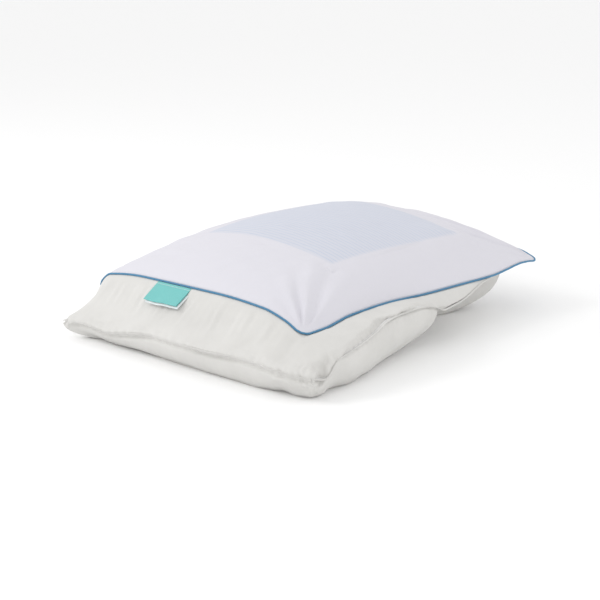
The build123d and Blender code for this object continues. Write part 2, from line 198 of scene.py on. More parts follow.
# Where ridge, creases, puckers, pleat and bulge lie beside their line, and how wide they are.
RIDGE_LINE, CREASE_LINE, PUCKER_LINE, SIDE_CREASE_LINE = (2.5, 5.0), (-6.5, 3.4), (-3, 10.0), (-1, 2.4)
PLEAT_WIDTH, BULGE_LINE, GATHER_REACH = 4.5, (-17, 13.0), 9.0
# The bands they lie in: where each starts and where it is full.
NEAR_BAND, STREAK_FOOT, STREAK_ENDS, SEAM_ENDS = (268, 300), (48, 95), (235, 262), (248, 264)
RIGHT_BAND, RIGHT_START, CREASE_START, LUMPS_FOOT = (212, 240), (-330, -300), (-285, -230), (10, 40)
BULB_END, BULB_SIDE, CORNER_BAND = (-300, -312), (-200, -240), (236, 262)
PLEAT_FOOT, PLEAT_TOP = (14, 26), (58, 76)
PLEAT_X, PLEAT_Z, PLEAT_SLOPE = -303.0, 19.0, 0.62
NOTCH_X, NOTCH_Z = (20, 9.0), (56, 16.0)
COVERED_BAND, LOW_WALL_TOP, BED_BAND = (-0.03, 0.04), 60, (0.2, 5.0)

# Labels: the fold's stitch line, how far they droop, and their lengths.
LABEL_Y = (30.05, 104.05)
LABEL_PIVOT = (-269.54, 109.19)
LABEL_DROOP = math.radians(33.0)
LABEL_LENGTH = 37.0
CARE_LENGTH = 41.0
CARE_SHIFT_Y = 4
CARE_OFFSET = 2.0
RIBBON_START, RIBBON_TAIL, RIBBON_THICKNESS = 1.4, 3.2, 0.3
RIBBON_STEPS, FOLD_STEPS = (40, 60), 9
SWAY, SWAY_TURNS, SWAY_PHASE = 0.9, 5.2, 0.6
FLUTTER, FLUTTER_TURNS, FLUTTER_LEAN = 0.35, 13, 0.05

# Stage: sizes and places in metres, light in watts, lens in millimetres.
FLOOR_SIZE, FLOOR_COLOR, WORLD_STRENGTH = 120, (0.985, 0.985, 0.985), 0.94
LIGHTS = (("key", (-1.7, 1.6, 1.7), 1.3, 20), ("right", (0.4, -2.6, 1.2), 1.6, 6))
LIGHT_TARGET = Vector((0, 0, 0.08))
CAMERA_AZIMUTH, CAMERA_ELEVATION, CAMERA_DISTANCE = -49.3, 13.9, 2.325
CAMERA_TARGET = Vector((0.0217, 0.01125, 0.0837))
CAMERA_LENS, CAMERA_SENSOR, CAMERA_SHIFT = 82.62, 36, (-0.04167, -0.04667)

# Colours, linear.
COVER_COLOR = (0.70, 0.69, 0.74)
PAD_COLOR = (0.635, 0.65, 0.72)
GEL_LINE_COLOR = (0.50, 0.565, 0.69)
INNER_COLORS = (0.60, 0.592, 0.57), (0.72, 0.71, 0.69)
WHITE = (1.0, 1.0, 1.0)


def curve(points, t):
    """Smooth curve through given (position, value) pairs, without overshoot."""
    x = np.array([p[0] for p in points])
    y = np.array([p[1] for p in points])
    gap = np.diff(x)
    slope = np.diff(y) / gap
    before, after = slope[:-1], slope[1:]
    mean = 2 * before * after / (before + after + 1e-12)
    inner = np.where(before * after > 0, mean, 0.0)
    tangent = np.concatenate([[slope[0]], inner, [slope[-1]]])
    t = np.clip(t, x[0], x[-1])
    k = np.clip(np.searchsorted(x, t, side="right") - 1, 0, len(gap) - 1)
    s = (t - x[k]) / gap[k]
    h00, h10 = 2 * s**3 - 3 * s**2 + 1, s**3 - 2 * s**2 + s
    h01, h11 = -2 * s**3 + 3 * s**2, s**3 - s**2
    start, end = h00 * y[k], h01 * y[k + 1]
    return start + h10 * gap[k] * tangent[k] + end + h11 * gap[k] * tangent[k + 1]


def step(low, high, value):
    """0 below low, 1 above high, smooth between."""
    t = np.clip((value - low) / (high - low), 0.0, 1.0)
    return t * t * (3 - 2 * t)


def bump(value, centre, width):
    """A bell of height 1."""
    return np.exp(-(((value - centre) / width) ** 2))


def waves(seed, count, t, low, high):
    """Sum of sines with seeded lengths and phases, about -1 to 1."""
    source = np.random.default_rng(seed)
    total = np.zeros_like(t)
    for _ in range(count):
        total += np.sin(t * source.uniform(low, high) + source.uniform(0, 2 * math.pi))
    return total / math.sqrt(count)


def new_mesh(name, points, faces):
    """A smooth mesh object from points in millimetres."""
    mesh = bpy.data.meshes.new(name)
    mesh.from_pydata((np.asarray(points) * MM).tolist(), [], faces)
    mesh.update()
    mesh.polygons.foreach_set("use_smooth", [True] * len(mesh.polygons))
    piece = bpy.data.objects.new(name, mesh)
    bpy.context.scene.collection.objects.link(piece)
    return piece


def read_points(mesh, what="co"):
    """The mesh's vertex positions, or another three-part value of its vertices, in metres."""
    values = np.empty(len(mesh.vertices) * 3)
    mesh.vertices.foreach_get(what, values)
    return values.reshape(-1, 3)


def write_points(mesh, points):
    """Sets the mesh's vertex positions, in metres."""
    mesh.vertices.foreach_set("co", points.reshape(-1))
    mesh.update()


def edge_walk(count):
    """u and v of points that go once round the edge."""
    turn = np.linspace(0, 4, count + 1)[:-1]
    side = np.floor(turn).astype(int)
    t = (turn - side) * 2 - 1
    one = np.ones_like(t)
    return np.choose(side, (t, one, -t, -one)), np.choose(side, (-one, t, one, -t))


def grid_faces(rows, columns, start=0, flip=False, wrap=False):
    """Faces of a grid of points, row by row."""
    faces = []
    last = columns if wrap else columns - 1
    for i in range(rows - 1):
        for j in range(last):
            k = (j + 1) % columns
            a, b = start + i * columns + j, start + i * columns + k
            c, d = b + columns, a + columns
            faces.append((a, b, c, d) if flip else (a, d, c, b))
    return faces


# ---- cover surface ----


def cover_plan(u, v):
    """Floor position of the cover at u, v, with its corners rounded."""
    a = (1 - np.abs(u)) * COVER_HALF_LENGTH
    b = (1 - np.abs(v)) * COVER_HALF_WIDTH
    s = np.clip(1 - a / COVER_CORNER_RADIUS, 0, 1)
    t = np.clip(1 - b / COVER_CORNER_RADIUS, 0, 1)
    a = np.where(s > 0, COVER_CORNER_RADIUS * (1 - s * np.sqrt(1 - t * t / 2)), a)
    b = np.where(t > 0, COVER_CORNER_RADIUS * (1 - t * np.sqrt(1 - s * s / 2)), b)
    ru = np.sign(u) * (1 - a / COVER_HALF_LENGTH)
    rv = np.sign(v) * (1 - b / COVER_HALF_WIDTH)
    near, right = (1 - ru) / 2, (1 - rv) / 2
    corners = (COVER_LEFT_NEAR, COVER_RIGHT_NEAR, COVER_LEFT_FAR, COVER_RIGHT_FAR)
    weights = (near * (1 - right), near * right, (1 - near) * (1 - right), (1 - near) * right)
    x = sum(w * c[0] for w, c in zip(weights, corners))
    y = sum(w * c[1] for w, c in zip(weights, corners))
    return x, y, ru, rv


def cad_cover_height(u, v):
    """Height of the CAD's cover."""
    near, right = (1 - u) / 2, (1 - v) / 2
    left_near, right_near, right_far, left_far = CORNER_Z
    z = near * (right * right_near + (1 - right) * left_near)
    z = z + (1 - near) * (right * right_far + (1 - right) * left_far)
    near_rise, far_rise, left_rise, right_rise = EDGE_RISES
    end_power, side_power = EDGE_RISE_POWERS
    z = z + (near * near_rise + (1 - near) * far_rise) * (1 - np.abs(v) ** end_power)
    z = z + (right * right_rise + (1 - right) * left_rise) * (1 - np.abs(u) ** side_power)
    su = u - DOME_SHIFT[0] * (1 - u * u)
    sv = v - DOME_SHIFT[1] * (1 - v * v)
    dome = (1 - np.abs(su) ** DOME_POWERS[0]) * (1 - np.abs(sv) ** DOME_POWERS[1])
    return z + DOME_RISE * np.clip(dome, 0, None) ** DOME_FULLNESS


def cover_height(u, v):
    """Height of the cover's underside: the CAD's, with looser near and right edges."""
    one = np.ones_like(u)
    near_share = bump((1 + u) * COVER_HALF_LENGTH, 0, EDGE_FIX_REACH[0])
    right_share = bump((1 + v) * COVER_HALF_WIDTH, 0, EDGE_FIX_REACH[1])
    near_fix = curve(NEAR_EDGE, v) - cad_cover_height(-one, v)
    right_fix = curve(RIGHT_EDGE, u) - cad_cover_height(u, -one)
    corner_fix = NEAR_EDGE[0][1] - CORNER_Z[1]
    fix = near_fix * near_share + right_fix * right_share - corner_fix * near_share * right_share
    return cad_cover_height(u, v) + fix


def radial_folds(dx, dy, folds):
    """Creases that fan out of a corner: (angle in degrees, width, height, start, end) each."""
    reach = np.hypot(dx, dy)
    angle = np.degrees(np.arctan2(dy, dx))
    total = np.zeros_like(dx)
    for centre, width, height, start, end in folds:
        fade = step(start, start + FOLD_FADE_IN, reach) * (1 - step(end * 0.5, end, reach))
        total = total + height * fade * bump(angle, centre, width)
    return total


def cover_folds(x, y, u, v):
    """Wrinkles of the cover, in millimetres of height."""
    folds = radial_folds(x - NEAR_FOLD_CORNER[0], y - NEAR_FOLD_CORNER[1], NEAR_CORNER_FOLDS)
    folds = folds - DIMPLE_DEPTH * bump(x, *DIMPLE_X) * bump(y, *DIMPLE_Y)
    folds = folds + radial_folds(FAR_FOLD_CORNER[0] - x, y - FAR_FOLD_CORNER[1], FAR_CORNER_FOLDS)
    folds = folds + radial_folds(x - LEFT_FOLD_CORNER[0], LEFT_FOLD_CORNER[1] - y, LEFT_CORNER_FOLDS)
    px, py = x - PULL_CENTRE[0], y - PULL_CENTRE[1]
    slant = px * PULL_DIRECTION[0] + py * PULL_DIRECTION[1]
    across = py * PULL_DIRECTION[0] - px * PULL_DIRECTION[1]
    pulls = sum(height * np.sin(slant * turns + phase) for height, turns, phase in PULL_WAVES)
    folds = folds + bump(slant, 0, PULL_REACH[0]) * bump(across, 0, PULL_REACH[1]) * pulls
    # short puckers where the panel is sewn to the piping
    from_end, from_side = (1 - np.abs(u)) * COVER_HALF_LENGTH, (1 - np.abs(v)) * COVER_HALF_WIDTH
    edge = np.minimum(from_end, from_side)
    along = np.where(from_end < from_side, y, x)
    pucker = waves(3, 5, along, 0.18, 0.6) * np.exp(-edge / PUCKER_REACH) * step(0.5, 3.0, edge)
    slow = waves(5, 4, x, 0.015, 0.035) * waves(6, 4, y, 0.018, 0.04)
    crumple = waves(7, 5, x + 0.5 * y, 0.05, 0.13) * waves(8, 4, y - 0.4 * x, 0.04, 0.11)
    inside = (1 - np.abs(u) ** 12) * (1 - np.abs(v) ** 12) * step(4, 60, edge)
    return folds + PUCKER * pucker + (SLOW * slow + CRUMPLE * crumple) * inside


def cover_fractions(x, y):
    """Where a floor point lies on the cover, beyond -1 and 1 outside it."""
    u = (2 * x - COVER_NEAR_X - COVER_FAR_X) / COVER_LENGTH
    middle = COVER_MIDDLE_Y - COVER_MIDDLE_SHIFT * (1 + np.clip(u, -1, 1))
    return u, (y - middle) / COVER_HALF_WIDTH


def cover_height_at(x, y):
    """Height of the cover over a floor point, held level past its edges."""
    u, v = cover_fractions(x, y)
    return cover_height(np.clip(u, -1, 1), np.clip(v, -1, 1))


def fabric_limit(x, y):
    """Highest place of the inner pillow's fabric under the cover, with the cover's folds."""
    u, v = cover_fractions(x, y)
    u, v = np.clip(u, -1, 1), np.clip(v, -1, 1)
    folds = np.minimum(cover_folds(x, y, u, v), 0)
    return cover_height(u, v) + folds - FOLD_CLEARANCE - PAD_CLEARANCE * pad_share(x, y, PAD_MARGIN)


def pad_share(x, y, margin):
    """1 over the gel pad, falling to 0 at the margin outside it."""
    along = 1 - step(0, margin, np.abs(x - PAD_CENTRE[0]) - PAD_HALF[0])
    across = 1 - step(0, margin, np.abs(y - PAD_CENTRE[1]) - PAD_HALF[1])
    return along * across


def make_cover_panel():
    """The cover's top panel, and its grid of points."""
    rows, columns = COVER_STEPS
    u, v = np.meshgrid(np.linspace(-1, 1, rows), np.linspace(-1, 1, columns), indexing="ij")
    x, y, ru, rv = cover_plan(u, v)
    z = cover_height(ru, rv) + cover_folds(x, y, ru, rv)
    over_pad = pad_share(x, y, COVER_PAD_MARGIN) > 0
    z = np.where(over_pad, np.maximum(z, cad_cover_height(ru, rv)), z) + COVER_THICKNESS
    points = np.stack([x, y, z], -1)
    panel = new_mesh("cover_panel", points.reshape(-1, 3), grid_faces(rows, columns))
    solid = panel.modifiers.new("thickness", "SOLIDIFY")
    solid.thickness = COVER_THICKNESS * MM
    solid.offset = -1
    return panel, points


# ---- inner pillow ----


def inner_plan(u, v):
    """Floor position of the inner pillow's seam line and of points inside it."""
    far = (1 + u) / 2
    x = INNER_NEAR_X + (INNER_FAR_X - INNER_NEAR_X) * far + INNER_END_BOW * u * (1 - v * v)
    swell = 1 - u * u
    right = INNER_RIGHT[0] + (INNER_RIGHT[1] - INNER_RIGHT[0]) * far - INNER_RIGHT[2] * swell
    left = INNER_LEFT[0] + (INNER_LEFT[1] - INNER_LEFT[0]) * far + INNER_LEFT[2] * swell
    y = right + (left - right) * (1 + v) / 2
    corner = (np.abs(u) * np.abs(v)) ** CORNER_SHARPNESS
    tip = corner * (u < 0) * (v > 0)
    pull = 1 - CORNER_PULL * (corner - tip) + NEAR_LEFT_TIP * tip
    return x * pull, y * pull


def seam_height(u, v):
    """Height of the side seam, blended across from the four sides."""
    near, right = (1 - u) / 2, (1 - v) / 2
    z = near * curve(NEAR_SEAM, v) + (1 - near) * curve(FAR_SEAM, v)
    z = z + right * curve(RIGHT_SEAM, u) + (1 - right) * curve(LEFT_SEAM, u)
    near_corners = near * (right * NEAR_SEAM[0][1] + (1 - right) * NEAR_SEAM[-1][1])
    far_corners = (1 - near) * (right * FAR_SEAM[0][1] + (1 - right) * FAR_SEAM[-1][1])
    return z - near_corners - far_corners


def smooth_low(*values):
    """The lowest of some positive values, rounded where two are close."""
    total = sum(np.maximum(value, 0.001) ** -BLEND_POWER for value in values)
    return total ** (-1 / BLEND_POWER)


def top_height(u, v, x, y):
    """Height of the inner pillow's upper side: just under the cover, then down to the seam."""
    left_y = inner_plan(u, np.ones_like(v))[1]
    right_y = inner_plan(u, -np.ones_like(v))[1]
    end = INNER_HALF_LENGTH * (1 - np.abs(u))
    side = (left_y - right_y) / 2 * (1 - np.abs(v))
    seam = seam_height(u, v)
    cu, cv = cover_fractions(x, y)
    out_x = np.maximum(np.abs(cu) - 1, 0) * COVER_HALF_LENGTH
    out_y = np.maximum(np.abs(cv) - 1, 0) * COVER_HALF_WIDTH
    outside = np.hypot(out_x, out_y)
    inside = smooth_low(end, side)
    share = inside / (inside + outside + 0.5)
    power = SHARE_POWER + SHARE_POWER_END * out_x / (out_x + out_y + 1.0)
    clearance = COVER_CLEARANCE + PAD_CLEARANCE * pad_share(x, y, PAD_MARGIN)
    covered = np.maximum(cover_height_at(x, y) - clearance - seam, 1.0) * share**power
    end_rise = rise(end, END_RISE_LENGTH, END_FULLNESS * END_RISE)
    side_rise = rise(side, SIDE_RISE_LENGTH, SIDE_FULLNESS * SIDE_RISE)
    return seam + smooth_low(covered, end_rise, side_rise)


def rise(distance, length, height):
    """A rounded rise from the seam to its height over a length."""
    return height * (1 - (1 - np.clip(distance / length, 0, 1)) ** RISE_POWER)


def foot_inset(u, v):
    """How far inside the seam the underside reaches the bed, along the edge at u, v."""
    on_edge = 0.9999
    inset = np.where(v < -on_edge, curve(RIGHT_FOOT, u), curve(LEFT_FOOT, u))
    inset = np.where(u > on_edge, curve(FAR_FOOT, v), inset)
    return np.where(u < -on_edge, curve(NEAR_FOOT, v), inset)


def wall_point(u, v, s):
    """Inset and height on the lower wall under the edge point u, v, s from 0 at the seam to 1 at its foot,
    and the inset that the wall starts with."""
    seam = seam_height(u, v)
    foot = foot_inset(u, v)
    right_side = step(0.9, 0.999, -v)
    wing = step(*WING_RANGE, u) * right_side
    wall = 1 - wing
    flank = bump(u, FLANK_CENTRE, FLANK_REACH) * right_side * wall
    start = FLANK_START * flank
    swell = WALL_SWELL + FLANK_SWELL * flank
    x1 = wall * (start - swell) + wing * WING_INSETS[0] * foot
    z1 = seam * (wall * WALL_HEIGHT + wing * WING_HEIGHTS[0])
    x2 = foot * (wall * WALL_INSET + wing * WING_INSETS[1])
    z2 = seam * WING_HEIGHTS[1] * wing
    r = 1 - s
    inset = r**3 * start + 3 * r**2 * s * x1 + 3 * r * s**2 * x2 + s**3 * foot
    z = r**3 * seam + 3 * r**2 * s * z1 + 3 * r * s**2 * z2
    return inset, z, start


def crowded(count):
    """Positions from -1 to 1 that crowd towards both ends."""
    reach = math.pi / 2
    return np.sin(np.linspace(-1, 1, count) * reach * GRID_CROWDING) / math.sin(reach * GRID_CROWDING)


def seam_direction(u, v):
    """A seam point's floor position, the step from there a tenth of the way in, and its length."""
    x, y = inner_plan(u, v)
    ix, iy = inner_plan(u * 0.9, v * 0.9)
    return x, y, ix - x, iy - y, np.hypot(ix - x, iy - y)


def make_inner_body():
    """Points, faces and upper-side flags of the closed inner pillow: an upper and a lower grid
    that share the seam line."""
    rows, columns = INNER_STEPS
    u, v = np.meshgrid(crowded(rows), crowded(columns), indexing="ij")
    x, y = inner_plan(u, v)
    ring = np.maximum(np.abs(u), np.abs(v))
    safe = np.maximum(ring, 1e-6)
    eu, ev = u / safe, v / safe
    ex, ey, dx, dy, length = seam_direction(eu, ev)
    nx, ny = dx / length, dy / length
    inset, wall_z, start = wall_point(eu, ev, np.clip((1 - ring) / WALL_SHARE, 0, 1))
    hug = np.clip((ring - HUG_FROM) / HUG_RANGE, 0, 1) ** 2
    top = np.stack([x + nx * start * hug, y + ny * start * hug, top_height(u, v, x, y)], -1)
    inner = np.clip(1 - ring / (1 - WALL_SHARE), 0, 1)
    px, py = (ex + nx * inset) * (1 - inner), (ey + ny * inset) * (1 - inner)
    under = np.stack([px, py, wall_z], -1)

    count = rows * columns
    edge = np.zeros((rows, columns), bool)
    edge[0], edge[-1], edge[:, 0], edge[:, -1] = True, True, True, True
    edge = edge.reshape(-1)
    index = np.arange(count)
    index[~edge] = count + np.arange((~edge).sum())
    points = np.concatenate([top.reshape(-1, 3), under.reshape(-1, 3)[~edge]])
    faces = grid_faces(rows, columns)
    faces += [tuple(int(index[i]) for i in face) for face in grid_faces(rows, columns, flip=True)]
    return points, faces, np.arange(len(points)) < count


def relax(piece):
    """Short cloth simulation with inner pressure; returns the points before it and how each moves."""
    bpy.context.view_layer.objects.active = piece
    before = read_points(piece.data)
    cloth = piece.modifiers.new("cloth", "CLOTH")
    settings = cloth.settings
    settings.quality = 5
    settings.mass = 0.25
    settings.tension_stiffness = 22
    settings.compression_stiffness = 12
    settings.shear_stiffness = 8
    settings.bending_stiffness = 0.12
    settings.use_pressure = True
    settings.uniform_pressure_force = 3.0
    settings.shrink_min = -0.018
    settings.effector_weights.gravity = 0
    cloth.point_cache.frame_start = 1
    cloth.point_cache.frame_end = RELAX_FRAMES
    scene = bpy.context.scene
    for number in range(1, RELAX_FRAMES + 1):
        scene.frame_set(number)
    result = piece.evaluated_get(bpy.context.evaluated_depsgraph_get())
    move = read_points(result.data) - before
    piece.modifiers.remove(cloth)
    scene.frame_set(1)
    size = np.linalg.norm(move, axis=1, keepdims=True)
    return before, move * np.minimum(1, RELAX_CAP_M / np.maximum(size, 1e-9))


def under_cover(x, y):
    """Whether floor points lie under the cover or its piping."""
    u, v = cover_fractions(x, y)
    return (np.abs(u) < UNDER_COVER[0]) & (np.abs(v) < UNDER_COVER[1])


def make_inner_pillow():
    """The inner pillow's fabric, simulated, then wrinkled along its seam."""
    points, faces, upper = make_inner_body()
    pillow = new_mesh("inner_pillow_fabric", points, faces)
    before, move = relax(pillow)
    move[before[:, 2] < BED_M] = 0
    moved = before + move
    moved[:, 2] = np.maximum(moved[:, 2], 0)
    x, y = moved[:, 0] / MM, moved[:, 1] / MM
    covered = under_cover(x, y) & upper
    moved[covered, 2] = np.minimum(moved[covered, 2], fabric_limit(x, y)[covered] * MM)
    write_points(pillow.data, moved)
    finer = pillow.modifiers.new("finer", "SUBSURF")
    finer.levels = finer.render_levels = 1
    bake(pillow)
    wrinkle_inner(pillow)
    return pillow


def bake(piece):
    """Applies a piece's modifiers."""
    result = piece.evaluated_get(bpy.context.evaluated_depsgraph_get())
    mesh = bpy.data.meshes.new_from_object(result)
    piece.modifiers.clear()
    piece.data = mesh
    mesh.polygons.foreach_set("use_smooth", [True] * len(mesh.polygons))


def beside(value, line, place):
    """A bell beside a line, at a place given as (offset, width)."""
    return bump(value, line + place[0], place[1])


def near_wrinkles(x, y, z):
    """Near end: upright streaks under the piping, soft lumps, and the seam's ridge with its crease."""
    seam = curve(NEAR_SEAM, (y - INNER_MIDDLE_Y) / INNER_HALF_WIDTH)
    streaks = step(*STREAK_FOOT, z) * (1 - step(*STREAK_ENDS, np.abs(y)))
    push = STREAKS * streaks * waves(11, 6, y + 0.15 * z, 0.12, 0.45)
    push = push + LUMPS * waves(12, 4, y, 0.02, 0.06) * waves(18, 2, z, 0.03, 0.07)
    line = RIDGE * beside(z, seam, RIDGE_LINE) - CREASE * beside(z, seam, CREASE_LINE)
    line = line + NEAR_PUCKERS * waves(19, 5, y, 0.2, 0.6) * beside(z, seam, PUCKER_LINE)
    push = push + line * (1 - step(*SEAM_ENDS, np.abs(y - INNER_MIDDLE_Y)))
    return push * step(*NEAR_BAND, -x)


def right_wrinkles(x, y, z):
    """Right side: gathers on either side of the seam, its crease, lumps, and a notch under the seam."""
    seam = curve(RIGHT_SEAM, (x - INNER_MID_X) / INNER_HALF_LENGTH)
    gather = np.exp(-np.abs(z - seam) / GATHER_REACH)
    push = GATHERS * gather * waves(13, 5, x + 0.2 * z, 0.22, 0.6)
    push = push - SIDE_CREASE * beside(z, seam, SIDE_CREASE_LINE) * step(*CREASE_START, x)
    push = push + SIDE_LUMPS * waves(14, 3, x, 0.02, 0.05) * step(*LUMPS_FOOT, z)
    push = push - NOTCH * bump(x, *NOTCH_X) * bump(z, *NOTCH_Z)
    return push * step(*RIGHT_BAND, -y) * step(*RIGHT_START, x)


def corner_wrinkles(x, y, z):
    """Near right corner: fine cross puckers, and a folded-in pleat with the bulge beside it."""
    bulb = step(*BULB_END, x) * step(*BULB_SIDE, y) * step(*PLEAT_FOOT, z)
    push = BULB_PUCKERS * bulb * waves(21, 6, y - 0.5 * z, 0.25, 0.8)
    line = PLEAT_X + (z - PLEAT_Z) * PLEAT_SLOPE
    pleat = BULGE * beside(x, line, BULGE_LINE) - PLEAT * bump(x, line, PLEAT_WIDTH)
    band = step(*CORNER_BAND, -y) * step(*PLEAT_FOOT, z) * (1 - step(*PLEAT_TOP, z))
    return push + pleat * band


def wrinkle_inner(pillow):
    """Seam line, puckers and soft creases of the inner pillow, outside the cover."""
    mesh = pillow.data
    points, normal = read_points(mesh) / MM, read_points(mesh, "normal")
    x, y, z = points.T
    u, v = cover_fractions(x, y)
    outside = step(*COVERED_BAND, np.maximum(np.abs(u), np.abs(v)) - 1) + (z < LOW_WALL_TOP)
    push = near_wrinkles(x, y, z) + right_wrinkles(x, y, z) + corner_wrinkles(x, y, z)
    push = push * np.clip(outside, 0, 1) * step(*BED_BAND, z)
    points += normal * push[:, None]
    points[:, 2] = np.maximum(points[:, 2], 0)
    covered = under_cover(points[:, 0], points[:, 1])
    limit = fabric_limit(points[:, 0], points[:, 1])
    points[covered, 2] = np.minimum(points[covered, 2], limit[covered])
    write_points(mesh, points * MM)


def make_fill(pillow):
    """The fibre inside, a little smaller than the fabric."""
    fill = pillow.copy()
    fill.data = pillow.data.copy()
    fill.name = fill.data.name = "fibre_filling"
    bpy.context.scene.collection.objects.link(fill)
    write_points(fill.data, FILL_CENTRE_M + (read_points(fill.data) - FILL_CENTRE_M) * FILL_SCALE)
    return fill


# ---- piping ----


def boundary(points):
    """The cover's outer row of points, once round."""
    return np.concatenate([points[0, :-1], points[:-1, -1], points[-1, :0:-1], points[:0:-1, 0]])


def even_loop(line, spacing):
    """A closed line resampled evenly."""
    closed = np.vstack([line, line[:1]])
    length = np.concatenate([[0], np.cumsum(np.linalg.norm(np.diff(closed, axis=0), axis=1))])
    count = int(length[-1] / spacing)
    at = np.linspace(0, length[-1], count, endpoint=False)
    return np.stack([np.interp(at, length, closed[:, k]) for k in range(3)], -1)


def outward_of(line):
    """Level directions that point out of a closed line, whichever way it runs."""
    along = np.roll(line, -1, 0) - np.roll(line, 1, 0)
    side = np.stack([along[:, 1], -along[:, 0]], -1)
    side /= np.linalg.norm(side, axis=1, keepdims=True)
    centre = line[:, :2].mean(0)
    if ((line[:, :2] - centre) * side).sum() < 0:
        side = -side
    return np.hstack([side, np.zeros((len(line), 1))])


def make_tube(name, line, radius, sides, ripple=0.0):
    """A closed round tube along a loop."""
    along = np.roll(line, -1, 0) - np.roll(line, 1, 0)
    along /= np.linalg.norm(along, axis=1, keepdims=True)
    out = outward_of(line)
    up = np.cross(along, out)
    up /= np.linalg.norm(up, axis=1, keepdims=True)
    angle = np.linspace(0, 2 * math.pi, sides, endpoint=False)
    place = np.arange(len(line))[:, None]
    size = radius + ripple * np.sin(place * 1.1 + angle[None, :] * 2)
    ring = np.cos(angle)[None, :, None] * out[:, None, :] + np.sin(angle)[None, :, None] * up[:, None, :]
    points = line[:, None, :] + ring * size[:, :, None]
    faces = grid_faces(len(line), sides, wrap=True)
    last = (len(line) - 1) * sides
    for j in range(sides):
        k = (j + 1) % sides
        faces.append((last + j, j, k, last + k))
    return new_mesh(name, points.reshape(-1, 3), faces)


def make_piping(points):
    """Blue sleeve and the cord inside it."""
    line = even_loop(boundary(points), PIPING_STEP)
    line = line + outward_of(line) * (PIPING_RADIUS - PIPING_OVERLAP)
    line[:, 2] -= PIPING_OVERLAP
    sleeve = make_tube("piping_bias_sleeve", line, PIPING_RADIUS, 14, PIPING_RIPPLE)
    cord = make_tube("piping_filler_cord", line, CORD_RADIUS, 8)
    return sleeve, cord


def strip_along(name, inner, outer, thickness):
    """A closed flat strip between two loops of points."""
    count = len(inner)
    points = np.concatenate([outer, inner, outer - thickness, inner - thickness])
    faces = []
    for i in range(count):
        j = (i + 1) % count
        a, b, c, d = i, j, i + count, j + count
        e, f, g, h = a + 2 * count, b + 2 * count, c + 2 * count, d + 2 * count
        faces += [(a, c, d, b), (e, f, h, g), (a, b, f, e), (c, g, h, d)]
    return new_mesh(name, points, faces)


def make_facing():
    """Hem under the cover's edge, which holds the piping."""
    u, v = edge_walk(800)
    loops = []
    for inset in HEM_INSETS:
        su, sv = 1 - inset / COVER_HALF_LENGTH, 1 - inset / COVER_HALF_WIDTH
        x, y, ru, rv = cover_plan(u * su, v * sv)
        z = cover_height(ru, rv) + np.minimum(cover_folds(x, y, ru, rv), 0) - HEM_THICKNESS
        loops.append(np.stack([x, y, z], -1))
    return strip_along("cover_hem", loops[1], loops[0], np.array([0, 0, HEM_THICKNESS]))


def make_seam_band(name, outer_inset, inner_inset, thickness):
    """A band inside the inner pillow's side seam."""
    u, v = edge_walk(600)
    x, y, dx, dy, length = seam_direction(u, v)
    start = wall_point(u, v, np.zeros_like(u))[2]
    z = seam_height(u, v) + thickness / 2
    loops = []
    for inset in (outer_inset, inner_inset):
        reach = (start + inset) / length
        loops.append(np.stack([x + dx * reach, y + dy * reach, z], -1))
    return strip_along(name, loops[1], loops[0], np.array([0, 0, thickness]))


def close_ends(faces, start, rows, sides):
    """Adds the two end faces of an open tube of points that begins at start."""
    last = start + rows * sides - 1
    faces.append(tuple(range(start, start + sides)))
    faces.append(tuple(range(last, last - sides, -1)))


def make_edge_stitches(points):
    """Row of stitches just inside the piping."""
    line = even_loop(boundary(points), STITCH_PITCH)
    out = outward_of(line)
    along = np.roll(line, -1, 0) - line
    along /= np.linalg.norm(along, axis=1, keepdims=True)
    base = line - out * STITCH_INSET
    up = np.cross(out, along)
    up[up[:, 2] < 0] *= -1
    base[:, 2] += cover_height_at(base[:, 0], base[:, 1]) - cover_height_at(line[:, 0], line[:, 1])
    made, faces = [], []
    for p, a, n, side in zip(base, along, up, out):
        start = len(made)
        for end, size in STITCH_PROFILE:
            for turn in range(STITCH_SIDES):
                angle = turn * 2 * math.pi / STITCH_SIDES
                made.append(p + a * end + (side * math.cos(angle) + n * math.sin(angle)) * size)
        faces += grid_faces(len(STITCH_PROFILE), STITCH_SIDES, start, wrap=True)
        close_ends(faces, start, len(STITCH_PROFILE), STITCH_SIDES)
    return new_mesh("cover_edge_stitches", made, faces)


def make_tacks():
    """Bar tacks that pull the cover down to the inner pillow."""
    made, faces = [], []
    for x, y in TACK_POINTS:
        place = np.array([x]), np.array([y])
        u, v = cover_fractions(*place)
        top = (cover_height(u, v) + cover_folds(*place, u, v))[0] - TACK_SINK
        start = len(made)
        for z in np.linspace(fabric_limit(*place)[0] - TACK_DEPTH, top, TACK_ROWS):
            for turn in np.linspace(0, 2 * math.pi, TACK_SIDES, endpoint=False):
                made.append((x + math.cos(turn), y + math.sin(turn), z))
        faces += grid_faces(TACK_ROWS, TACK_SIDES, start, wrap=True)
        close_ends(faces, start, TACK_ROWS, TACK_SIDES)
    return new_mesh("bar_tacks", made, faces)


# ---- labels ----


def label_point(distance, offset, y):
    """A point at a distance from the piping's middle along the hanging label, and off its plane."""
    x = LABEL_PIVOT[0] - math.cos(LABEL_DROOP) * distance + math.sin(LABEL_DROOP) * offset
    z = LABEL_PIVOT[1] - math.sin(LABEL_DROOP) * distance - math.cos(LABEL_DROOP) * offset
    return (x, y, z)


